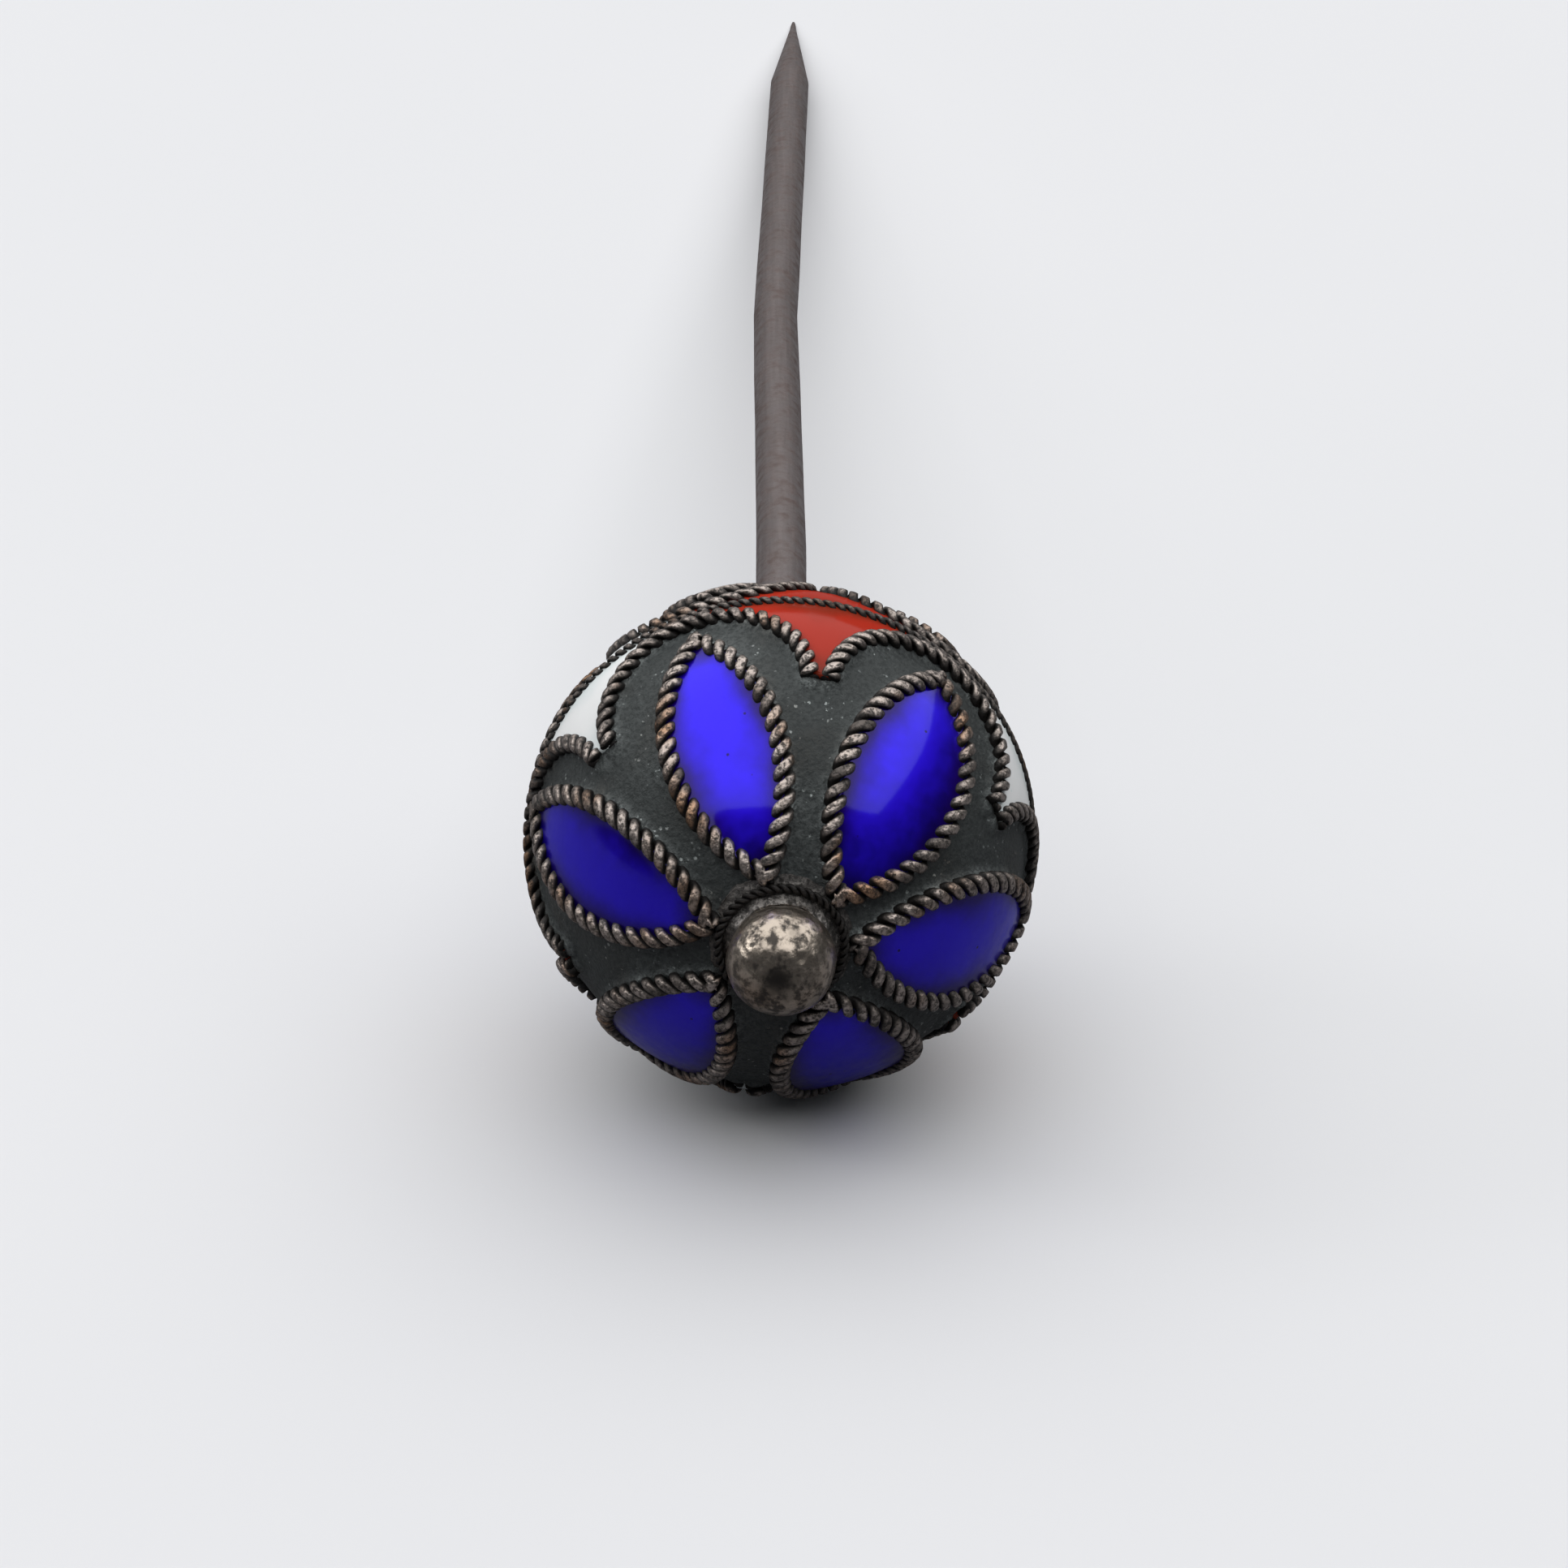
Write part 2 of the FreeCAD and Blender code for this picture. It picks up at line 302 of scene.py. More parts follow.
def lay_rope(
    arc, radius, pitch, ring_corners=10, steps_per_turn=18, extra=0.0, seed=0.0, bright=1.0
):
    """A rope bent along an arc, which keeps on its corners how much each is rubbed."""
    bm = bmesh.new()
    rub = bm.verts.layers.float.new("rub")
    straight_rope(bm, arc.length + 2 * extra, radius, pitch, ring_corners, steps_per_turn, seed)
    worn = (arc.start + arc.centre - head_centre).length + worn_share * radius
    for corner in bm.verts:
        share = math.hypot(corner.co.x, corner.co.y) / radius
        corner[rub] = bright * share * (side_rub + (1 - side_rub) * corner.co.y / radius)
        place, along, out = arc.at(corner.co.z - extra)
        side = out.cross(along)
        stray = hand_wander * noise.noise(place / wander_length + Vector((seed, 0, 0)))
        spot = place + side * (corner.co.x + stray) + out * corner.co.y
        reach = (spot - head_centre).length
        if reach > worn:
            spot = head_centre + outward(spot) * (worn + left_standing * (reach - worn))
        corner.co = spot
    return bm


# %% [markdown]
# ## The petals' and scallops' wires
# Both sides of a petal run a little past its tips, where the real wire is folded back on
# itself. Each scallop is cut square at its ends, which lie side by side with its neighbours'.

# %% Make the petals' and scallops' wires
petal_pitch = 0.86 * mm
scallop_pitch = 0.78 * mm
tip_overlap = 0.10 * mm
second_side_seed = 7        # so that a petal's two sides wander differently
first_scallop_seed = 20
ropes = []
for side, half in halves_of_ball:
    for index in range(petal_count):
        sides = [
            lay_rope(
                arc,
                petal_wire_radius,
                petal_pitch,
                extra=tip_overlap,
                seed=index + second_side_seed * hand,
            )
            for hand, arc in enumerate(petal_arcs(side, index))
        ]
        node = f"{half}_petal_wire_{index + 1}"
        ropes.append(make_piece(f"{half}_petal_rope_{index + 1}", joined(sides), node))
        seed = first_scallop_seed + index
        arch = lay_rope(scallop_arc(side, index), scallop_wire_radius, scallop_pitch, seed=seed)
        node = f"{half}_scallop_wire_{index + 1}"
        ropes.append(make_piece(f"{half}_scallop_rope_{index + 1}", arch, node))
print("ropes:", len(ropes), "faces:", sum(len(rope.data.polygons) for rope in ropes))

# %% [markdown]
# ## The seam's wire and the finial's ring
# Finer ropes go all the way round. Two half circles make each ring, and a whole number of
# half twists lets their ends meet.

# %% Make the rings
def ring_arcs(centre_y, radius):
    """Two half circles about the pin."""
    top, right = Vector((0, centre_y, radius)), Vector((radius, centre_y, 0))
    low, left = Vector((0, centre_y, -radius)), Vector((-radius, centre_y, 0))
    return Arc(top, right, low), Arc(low, left, top)


def make_ring(name, node, radius, rope_radius, twists, ring_corners, steps_per_turn, bright):
    low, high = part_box(node)
    halves = [
        lay_rope(arc, rope_radius, arc.length / twists, ring_corners, steps_per_turn, bright=bright)
        for arc in ring_arcs((low.y + high.y) / 2, radius)
    ]
    ropes.append(make_piece(name, joined(halves), node))


seam_ring_radius = (seam_high.x - seam_low.x) / 2 - seam_wire_radius
make_ring(
    "seam_rope",
    "seam_wire",
    seam_ring_radius,
    seam_wire_radius,
    twists=38,
    ring_corners=8,
    steps_per_turn=12,
    bright=0.75,
)
foot_low, foot_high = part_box("finial_ring")
foot_rope_radius = (foot_high.y - foot_low.y) / 2
foot_ring_radius = (foot_high.x - foot_low.x) / 2 - foot_rope_radius
make_ring(
    "finial_rope",
    "finial_ring",
    foot_ring_radius,
    foot_rope_radius,
    twists=11,
    ring_corners=8,
    steps_per_turn=14,
    bright=0.55,
)
print("rings' radii, mm:", round(seam_ring_radius / mm, 2), round(foot_ring_radius / mm, 2))

# %% [markdown]
# ## The enamel
# Each cell is filled with ground glass and fired. The glass shrinks to a smooth skin that
# creeps up the wires, so it is a little lower in the middle. A flat grid is stretched between
# the cell's two sides, its ends are merged to points, and it is given its depth to the shell.
# The distance from the rim is kept on the mesh for the finish.

# %% Stretch a grid into a cell
glass_overlap = 0.02 * mm   # how far the glass's foot is let into the plain ball
merge_distance = 0.004 * mm


def enamel_cell(name, node, place, depth, rise, columns=64, rows=24):
    """place(u, v, radius) gives a point of the cell for u and v from 0 to 1."""
    bm = bmesh.new()
    bmesh.ops.create_grid(bm, x_segments=columns, y_segments=rows, size=0.5)
    rim_layer = bm.verts.layers.float.new("rim")
    for corner in bm.verts:
        u, v = corner.co.x + 0.5, corner.co.y + 0.5
        near = 1 - min(1, 4 * v * (1 - v), 5 * u, 5 * (1 - u))
        corner[rim_layer] = near
        corner.co = place(u, v, shell_radius + depth + rise * near**3)
    bmesh.ops.remove_doubles(bm, verts=bm.verts, dist=merge_distance)
    walls = bmesh.ops.extrude_face_region(bm, geom=list(bm.faces))
    foot = [item for item in walls["geom"] if isinstance(item, bmesh.types.BMVert)]
    for corner in foot:
        corner.co = head_centre + outward(corner.co) * (shell_radius - glass_overlap)
    return make_piece(name, bm, node)


petal_depth = 0.20 * mm
petal_rise = 0.07 * mm
spandrel_depth = 0.17 * mm
spandrel_rise = 0.05 * mm


def petal_place(side, index):
    left, right = petal_arcs(side, index)

    def place(u, v, radius):
        a, b = left.at(u * left.length)[0], right.at(u * right.length)[0]
        return head_centre + outward(a.lerp(b, v)) * radius

    return place


def spandrel_place(side, index):
    """Between the seam and the two scallops that meet in the middle of this cell."""
    meeting = first_scallop_turn + (index + 0.5) * petal_step
    before, after = scallop_arc(side, index), scallop_arc(side, index + 1)

    def place(u, v, radius):
        # u follows the first scallop from its crown to its end, then the next to its crown.
        arc, part = (before, 0.5 + u) if u < 0.5 else (after, u - 0.5)
        edge = arc.at(part * arc.length)[0] - head_centre
        turn = math.atan2(edge.x, edge.z)
        across = math.hypot(edge.x, edge.z)
        seam = Vector((across * math.sin(turn), seam_offset, across * math.cos(turn)))
        level = Vector((edge.x, edge.y + v * (seam_offset - edge.y), edge.z))
        return head_centre + level.normalized() * radius

    return place


# %% Make the enamel
enamels = []
for side, half in halves_of_ball:
    for index in range(petal_count):
        number = index + 1
        name, node = f"{half}_petal_glass_{number}", f"{half}_petal_enamel_{number}"
        place = petal_place(side, index)
        enamels.append(enamel_cell(name, node, place, petal_depth, petal_rise))
        name, node = f"{half}_spandrel_glass_{number}", f"{half}_spandrel_enamel_{number}"
        place = spandrel_place(side, index)
        enamels.append(enamel_cell(name, node, place, spandrel_depth, spandrel_rise))
print("enamel pieces:", len(enamels))

# %% [markdown]
# ## The domes
# The outline of a dome's wall is spun round the pin. Its outside is then pushed about: the
# sheet is a little uneven, and solder has run into the corners beside every wire. The nearest
# wire is found with a search tree of points along all the arcs.

# %% Spin a dome and let the solder run
wire_lines = []
for side in (1, -1):
    for index in range(petal_count):
        for arc in petal_arcs(side, index):
            wire_lines.append((arc, petal_wire_radius))
        wire_lines.append((scallop_arc(side, index), scallop_wire_radius))
spots = []
spot_spacing = 0.05 * mm
for arc, radius in wire_lines:
    count = math.ceil(arc.length / spot_spacing)
    spots += [(arc.at(step * arc.length / count)[0], radius) for step in range(count + 1)]
wire_tree = KDTree(len(spots))
for number, (spot, radius) in enumerate(spots):
    wire_tree.insert(head_centre + outward(spot) * shell_radius, number)
wire_tree.balance()

solder_height = 0.15 * mm
solder_reach = 0.11 * mm
sheet_wave = 0.045 * mm
wave_length = 1.9 * mm
grain_height = 0.022 * mm
grain_length = 0.13 * mm
lump_length = 0.35 * mm
wire_cover = 0.75           # share of a wire's radius that hides the sheet beside its middle


def ground_rise(point):
    """How far solder and unevenness lift the dome's outside at a point."""
    _, number, distance = wire_tree.find(point)
    gap = max(0.0, distance - wire_cover * spots[number][1])
    lump = 0.75 + 0.6 * noise.noise(point / lump_length)
    solder = solder_height * lump * math.exp(-gap / solder_reach)
    wave = sheet_wave * noise.noise(point / wave_length)
    grain = grain_height * noise.noise(point / grain_length)
    return max(0.0, solder + wave + grain)


def goes_round(edge):
    """Does an edge run round the pin, with both ends as far along it and as far from it?"""
    a, b = (corner.co for corner in edge.verts)
    as_far_along = abs(a.y - b.y) < 0.0001 * mm
    as_far_out = abs(math.hypot(a.x, a.z) - math.hypot(b.x, b.z)) < 0.001 * mm
    return as_far_along and as_far_out


outer_rings = 132
inner_rings = 24

def make_dome(name, node, side, hole_radius):
    """Spins the wall's outline, from the hole along the outside to the seam and back inside."""
    edge = math.acos(-side * seam_offset / shell_radius)
    start = math.asin(hole_radius / shell_radius)
    outside = [start + (edge - start) * step / outer_rings for step in range(outer_rings + 1)]
    bm = bmesh.new()
    outline = [on_ball(math.degrees(p), 0, shell_radius, side) for p in outside]
    inner_edge = math.acos(-side * seam_offset / inner_radius)
    inner_start = math.asin(hole_radius / inner_radius)
    back = inner_start - inner_edge
    inside = [inner_edge + back * step / inner_rings for step in range(inner_rings + 1)]
    outline += [on_ball(math.degrees(p), 0, inner_radius, side) for p in inside]
    corners = [bm.verts.new(point) for point in outline]
    edges = [bm.edges.new(pair) for pair in zip(corners, corners[1:] + corners[:1])]
    bmesh.ops.spin(
        bm,
        geom=corners + edges,
        cent=head_centre,
        axis=(0, 1, 0),
        angle=2 * math.pi,
        steps=60,
        use_merge=True,
    )
    round_edges = [edge for edge in bm.edges if goes_round(edge)]
    bmesh.ops.subdivide_edges(bm, edges=round_edges, cuts=7)
    for corner in bm.verts:
        out = corner.co - head_centre
        if out.length > outer_skin:
            corner.co = head_centre + out.normalized() * (shell_radius + ground_rise(corner.co))
    return make_piece(name, bm, node)


rear_corners = [v.co for v in frame["nodes"]["rear_shell"].data.vertices]
inner_radius = min((co - head_centre).length for co in rear_corners)
outer_skin = shell_radius - 0.25 * (shell_radius - inner_radius)
finial_hole = math.hypot(rim.x, rim.z)
tang_hole = min(math.hypot(co.x, co.z) for co in rear_corners)
domes = [
    make_dome("front_dome", "front_shell", 1, finial_hole),
    make_dome("rear_dome", "rear_shell", -1, tang_hole),
]
print("domes' faces:", [len(dome.data.polygons) for dome in domes])

# %% [markdown]
# ## The finial
# The ball at the front is worn and pitted from years of handling. A fine sphere is pushed in
# where it is pitted, and one deeper dent is pressed into its front. Round its foot lies a
# rough mound of solder.

# %% Make the finial
finial_low, finial_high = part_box("finial_ball")
finial_radius = (finial_high.x - finial_low.x) / 2
finial_centre = Vector((0, finial_low.y + finial_radius, 0))
# Each dent's way out from the middle, width and depth as shares of the radius, and blackness.
dents = (
    (Vector((-0.05, -0.99, 0.07)), 0.38, 0.080, 1.0),
    (Vector((-0.50, -0.83, 0.28)), 0.11, 0.025, 0.9),
    (Vector((-0.24, -0.83, 0.50)), 0.10, 0.010, 0.6),
    (Vector((0.42, -0.80, 0.42)), 0.13, 0.018, 0.4),
    (Vector((0.52, -0.80, 0.02)), 0.20, 0.020, 0.5),
    (Vector((-0.30, -0.86, -0.40)), 0.17, 0.022, 0.5),
    (Vector((0.25, -0.50, 0.83)), 0.14, 0.015, 0.3),
    (Vector((0.80, 0.20, -0.50)), 0.30, 0.030, 0.7),
    (Vector((-0.85, 0.10, 0.50)), 0.25, 0.025, 0.7),
)


def dent_at(out):
    """How deep the finial's skin lies, as a share of its radius, and how black it is there."""
    deep = 0.012 * (1 + noise.noise(out * 2.6)) + 0.010 * (1 + noise.noise(out * 8))
    black = 0.0
    for way, width, depth, dark in dents:
        near = (out - way.normalized()).length / width
        if near < 2.5:
            ragged = near * (1 + 0.35 * noise.noise(out * 7 + way * 9))
            deep += depth * math.exp(-(near**2))
            black = max(black, dark * math.exp(-(ragged**4)))
    return deep, black


bm = bmesh.new()
bmesh.ops.create_icosphere(bm, subdivisions=6, radius=1)
black_layer = bm.verts.layers.float.new("black")
for corner in bm.verts:
    out = corner.co.normalized()
    deep, corner[black_layer] = dent_at(out)
    corner.co = finial_centre + out * finial_radius * (1 - deep)
finial = make_piece("finial_bead", bm, "finial_ball")
print("finial radius, mm:", round(finial_radius / mm, 2), "dents:", len(dents))

# %% Make the solder round the finial's foot
solder_lump = 0.42 * mm
solder_grit = 0.16 * mm


def spun_solder(name, node, outline, roughness, steps=200):
    """Spins (distance in front of the ball's middle, distance out) corners about the pin."""
    bm = bmesh.new()
    corners = [bm.verts.new(head_centre + Vector((0, -along, out))) for along, out in outline]
    edges = [bm.edges.new(pair) for pair in zip(corners, corners[1:] + corners[:1])]
    bmesh.ops.subdivide_edges(bm, edges=edges, cuts=7)
    bmesh.ops.spin(
        bm,
        geom=list(bm.verts) + list(bm.edges),
        cent=head_centre,
        axis=(0, 1, 0),
        angle=2 * math.pi,
        steps=steps,
        use_merge=True,
    )
    bmesh.ops.remove_doubles(bm, verts=bm.verts, dist=0.001 * mm)
    bmesh.ops.recalc_face_normals(bm, faces=bm.faces)
    bm.normal_update()
    for corner in bm.verts:
        lump = noise.noise(corner.co / solder_lump)
        grit = 0.5 * noise.noise(corner.co / solder_grit)
        corner.co += corner.normal * roughness * (lump + grit - 0.6)
    return make_piece(name, bm, node)


base_low, base_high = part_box("finial_base")
base_radius = (base_high.x - base_low.x) / 2
base_top = head_centre.y - base_low.y
base_rim = math.sqrt(shell_radius**2 - base_radius**2)
base_hole = 0.80 * mm        # inside the finial, so it is never seen
base_outline = (
    (base_rim - 0.15 * mm, base_radius - 0.02 * mm),
    (base_rim + 0.10 * mm, base_radius - 0.02 * mm),
    (base_rim + 0.26 * mm, base_radius - 0.28 * mm),
    (base_top, 1.16 * mm),
    (base_top - 0.05 * mm, base_hole),
    (base_rim - 0.15 * mm, base_hole),
)
base = spun_solder("finial_solder", "finial_base", base_outline, 0.075 * mm)
print("solder's faces:", len(base.data.polygons))

# %% [markdown]
# ## The collar
# Behind the head a turned collar strengthens the joint with the pin. Its outline is spun like
# the finial's solder, with a soft edge where it has been filed.

# %% Make the collar
collar_low, collar_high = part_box("rear_collar")
collar_foot = (collar_high.x - collar_low.x) / 2
collar_back = -(collar_high.y - head_centre.y)
collar_radius = 1.15 * mm
collar_rim = -math.sqrt(shell_radius**2 - collar_foot**2)
pin_hole = 0.52 * mm
collar_outline = (
    (collar_rim + 0.12 * mm, collar_foot - 0.02 * mm),
    (collar_rim - 0.08 * mm, collar_foot - 0.02 * mm),
    (-shell_radius - 0.22 * mm, collar_radius + 0.12 * mm),
    (-shell_radius - 0.42 * mm, collar_radius),
    (collar_back + 0.22 * mm, collar_radius),
    (collar_back + 0.06 * mm, collar_radius - 0.08 * mm),
    (collar_back, collar_radius - 0.25 * mm),
    (collar_back, pin_hole),
    (collar_rim + 0.12 * mm, pin_hole),
)
collar = spun_solder("collar", "rear_collar", collar_outline, 0.02 * mm, 128)
print("collar's faces:", len(collar.data.polygons))


# %% [markdown]
# ## The pin
# The pin is drawn steel wire, bent a little in use and filed to a point. Its designed mesh is
# already right, but its triangles are loose and as long as the wire. A copy is merged, cut
# across into short lengths, and made very slightly uneven, as wire pulled by hand is.

# %% Make the pin
bm = bmesh.new()
bm.from_mesh(frame["nodes"]["pin"].data)
bmesh.ops.remove_doubles(bm, verts=bm.verts, dist=0.002 * mm)
bmesh.ops.dissolve_limit(bm, angle_limit=math.radians(1), verts=bm.verts, edges=bm.edges)
pin_low, pin_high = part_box("pin")
cut_length = 0.8 * mm
uneven_depth = 0.014 * mm
uneven_length = 6.0 * mm
plain_end = 0.5 * mm        # left as designed, beside the collar
plain_tip = 1.0 * mm
for number in range(1, int(pin_high.y / cut_length)):
    bmesh.ops.bisect_plane(
        bm,
        geom=list(bm.verts) + list(bm.edges) + list(bm.faces),
        plane_co=(0, number * cut_length, 0),
        plane_no=(0, 1, 0),
    )
bm.normal_update()
for corner in bm.verts:
    if plain_end < corner.co.y < pin_high.y - plain_tip:
        depth = uneven_depth * (1 + noise.noise(corner.co / uneven_length))
        corner.co -= corner.normal * depth
pin = make_piece("hat_pin_wire", bm, "pin")
pin.data.set_sharp_from_angle(angle=math.radians(40))
print("pin's faces:", len(pin.data.polygons))


# %% [markdown]
# ## Finishes: shared pieces of node work
# Old silver is black in its hollows and bright on its high places. How high a place is above
# the ball is found from its distance to the ball's middle. Three groups are shared: height
# over the ball, tarnish in patches, and fine grain.

# %% Node helpers
def new_material(name):
    material = bpy.data.materials.new(name)
    material.use_nodes = True
    nodes = material.node_tree.nodes
    return material, nodes, material.node_tree.links, nodes["Principled BSDF"]


def group_with(name, inputs, outputs):
    """An empty node group with named sockets, given as (name, kind, default)."""
    group = bpy.data.node_groups.new(name, "ShaderNodeTree")
    for label, kind, default in inputs:
        socket = group.interface.new_socket(label, in_out="INPUT", socket_type=kind)
        if default is not None:
            socket.default_value = default
    for label, kind in outputs:
        group.interface.new_socket(label, in_out="OUTPUT", socket_type=kind)
    return group, group.nodes.new("NodeGroupInput"), group.nodes.new("NodeGroupOutput")


def map_range(nodes, links, value, low, high, to_low=0.0, to_high=1.0):
    node = nodes.new("ShaderNodeMapRange")
    node.interpolation_type = "SMOOTHSTEP"
    links.new(value, node.inputs["Value"])
    ends = {"From Min": low, "From Max": high, "To Min": to_low, "To Max": to_high}
    for label, amount in ends.items():
        if hasattr(amount, "is_linked"):
            links.new(amount, node.inputs[label])
        else:
            node.inputs[label].default_value = amount
    return node.outputs["Result"]


def noise_at(nodes, links, vector, scale, detail=3.0, roughness=0.55):
    node = nodes.new("ShaderNodeTexNoise")
    links.new(vector, node.inputs["Vector"])
    node.inputs["Scale"].default_value = scale
    node.inputs["Detail"].default_value = detail
    node.inputs["Roughness"].default_value = roughness
    return node.outputs["Fac"]


def mix_colour(nodes, links, factor, a, b):
    node = nodes.new("ShaderNodeMix")
    node.data_type = "RGBA"
    for socket, value in ((node.inputs[0], factor), (node.inputs[6], a), (node.inputs[7], b)):
        if hasattr(value, "is_linked"):
            links.new(value, socket)
        else:
            socket.default_value = value
    return node.outputs[2]


def maths(nodes, links, operation, a, b=0.0, c=0.0, clamp=False):
    node = nodes.new("ShaderNodeMath")
    node.operation = operation
    node.use_clamp = clamp
    for socket, value in zip(node.inputs, (a, b, c)):
        if hasattr(value, "is_linked"):
            links.new(value, socket)
        else:
            socket.default_value = value
    return node.outputs[0]


def bump(nodes, links, height, strength, distance, normal=None):
    node = nodes.new("ShaderNodeBump")
    links.new(height, node.inputs["Height"])
    node.inputs["Strength"].default_value = strength
    node.inputs["Distance"].default_value = distance
    if normal is not None:
        links.new(normal, node.inputs["Normal"])
    return node.outputs["Normal"]


def object_coordinates(nodes):
    return nodes.new("ShaderNodeTexCoord").outputs["Object"]


def placed(nodes, group, **values):
    node = nodes.new("ShaderNodeGroup")
    node.node_tree = group
    for label, value in values.items():
        node.inputs[label.replace("_", " ")].default_value = value
    return node


# %% Height over the ball
height_group, inlet, outlet = group_with(
    "Height over the ball",
    (("Low", "NodeSocketFloat", 0.1), ("High", "NodeSocketFloat", 0.4)),
    (("Mask", "NodeSocketFloat"),),
)
nodes, links = height_group.nodes, height_group.links
from_middle = nodes.new("ShaderNodeVectorMath")
from_middle.operation = "DISTANCE"
links.new(object_coordinates(nodes), from_middle.inputs[0])
from_middle.inputs[1].default_value = head_centre
over = maths(nodes, links, "SUBTRACT", from_middle.outputs["Value"], shell_radius)
over_mm = maths(nodes, links, "DIVIDE", over, mm)
high_place = map_range(nodes, links, over_mm, inlet.outputs["Low"], inlet.outputs["High"])
links.new(high_place, outlet.inputs["Mask"])
print("shared:", height_group.name)

# %% Patches of tarnish
tarnish_group, inlet, outlet = group_with(
    "Tarnish in patches",
    (("Scale", "NodeSocketFloat", 600.0), ("Amount", "NodeSocketFloat", 0.5)),
    (("Mask", "NodeSocketFloat"), ("Warmth", "NodeSocketFloat")),
)
nodes, links = tarnish_group.nodes, tarnish_group.links
here = object_coordinates(nodes)
broad = nodes.new("ShaderNodeTexNoise")
links.new(here, broad.inputs["Vector"])
links.new(inlet.outputs["Scale"], broad.inputs["Scale"])
broad.inputs["Detail"].default_value = 5.0
broad.inputs["Roughness"].default_value = 0.62
limit = maths(nodes, links, "SUBTRACT", 0.95, inlet.outputs["Amount"])
edge = maths(nodes, links, "ADD", limit, 0.22)
links.new(map_range(nodes, links, broad.outputs["Fac"], limit, edge), outlet.inputs["Mask"])
warm = noise_at(nodes, links, here, 420.0, 2.0)
links.new(map_range(nodes, links, warm, 0.48, 0.68), outlet.inputs["Warmth"])
print("shared:", tarnish_group.name)

# %% Fine grain
grain_group, inlet, outlet = group_with(
    "Fine grain",
    (("Scale", "NodeSocketFloat", 9000.0), ("Specks", "NodeSocketFloat", 0.1)),
    (("Height", "NodeSocketFloat"), ("Specks", "NodeSocketFloat")),
)
nodes, links = grain_group.nodes, grain_group.links
here = object_coordinates(nodes)
fine = nodes.new("ShaderNodeTexNoise")
links.new(here, fine.inputs["Vector"])
links.new(inlet.outputs["Scale"], fine.inputs["Scale"])
fine.inputs["Detail"].default_value = 4.0
fine.inputs["Roughness"].default_value = 0.65
links.new(fine.outputs["Fac"], outlet.inputs["Height"])
cells = nodes.new("ShaderNodeTexVoronoi")
links.new(here, cells.inputs["Vector"])
cells.inputs["Scale"].default_value = 6500.0
near = map_range(nodes, links, cells.outputs["Distance"], 0.40, 0.16)
sparse = noise_at(nodes, links, here, 2600.0, 4.0, 0.7)
start = maths(nodes, links, "SUBTRACT", 0.78, inlet.outputs["Specks"])
stop = maths(nodes, links, "ADD", start, 0.06)
chosen = map_range(nodes, links, sparse, start, stop)
links.new(maths(nodes, links, "MULTIPLY", near, chosen), outlet.inputs["Specks"])
print("shared:", grain_group.name)


# %% [markdown]
# ## Silver
# One recipe makes every silver finish. A dark coat of sulphide fills the low places, and bare
# metal shows on the high ones, brownish where the coat is thin.

# %% Silver finishes
def attribute(nodes, name):
    node = nodes.new("ShaderNodeAttribute")
    node.attribute_name = name
    return node.outputs["Fac"]


def silver(name, exposed, dark, bare, warm, tarnish, specks, roughness, grain, grain_scale=9000.0):
    """exposed(nodes, links) gives how far a place stands out and is rubbed, from 0 to 1.

    dark is the sulphide's colour, bare the clean metal's and warm the thinly coated metal's.
    """
    material, nodes, links, shader = new_material(name)
    patch = placed(nodes, tarnish_group, Scale=900.0, Amount=tarnish)
    fine = placed(nodes, grain_group, Scale=grain_scale, Specks=specks)
    clean = map_range(nodes, links, patch.outputs["Mask"], 0.0, 1.0, 1.0, 0.25)
    broken = map_range(nodes, links, fine.outputs["Height"], 0.36, 0.60, 0.10, 1.0)
    shine = maths(nodes, links, "MULTIPLY", exposed(nodes, links), clean)
    shine = maths(nodes, links, "MULTIPLY", shine, broken, clamp=True)
    shine = maths(nodes, links, "MAXIMUM", shine, fine.outputs["Specks"])
    metal = mix_colour(nodes, links, patch.outputs["Warmth"], bare, warm)
    links.new(mix_colour(nodes, links, shine, dark, metal), shader.inputs["Base Color"])
    links.new(map_range(nodes, links, shine, 0.0, 0.5, 0.25, 1.0), shader.inputs["Metallic"])
    polish = map_range(nodes, links, shine, 0.0, 0.8, roughness + 0.20, roughness)
    links.new(polish, shader.inputs["Roughness"])
    shader.inputs["Specular IOR Level"].default_value = 0.35
    links.new(bump(nodes, links, fine.outputs["Height"], grain, 0.05 * mm), shader.inputs["Normal"])
    return material


def rubbed_rope(nodes, links):
    return map_range(nodes, links, attribute(nodes, "rub"), 0.46, 0.92)


def open_ground(nodes, links):
    return placed(nodes, height_group, Low=-0.06, High=0.30).outputs["Mask"]


def lumps(nodes, links):
    return placed(nodes, height_group, Low=-0.30, High=0.55).outputs["Mask"]


def handled_bead(nodes, links):
    return maths(nodes, links, "SUBTRACT", 1.0, attribute(nodes, "black"), clamp=True)


wire_finish = silver(
    "worn twisted silver",
    rubbed_rope,
    dark=(0.014, 0.012, 0.011, 1),
    bare=(0.60, 0.52, 0.47, 1),
    warm=(0.50, 0.31, 0.20, 1),
    tarnish=0.50,
    specks=0.08,
    roughness=0.30,
    grain=0.70,
)
ground_finish = silver(
    "blackened silver ground",
    open_ground,
    dark=(0.040, 0.046, 0.046, 1),
    bare=(0.36, 0.39, 0.385, 1),
    warm=(0.24, 0.215, 0.190, 1),
    tarnish=0.36,
    specks=0.22,
    roughness=0.40,
    grain=1.0,
)
solder_finish = silver(
    "rough silver solder",
    lumps,
    dark=(0.034, 0.032, 0.030, 1),
    bare=(0.40, 0.375, 0.355, 1),
    warm=(0.30, 0.24, 0.20, 1),
    tarnish=0.36,
    specks=0.22,
    roughness=0.42,
    grain=1.0,
)
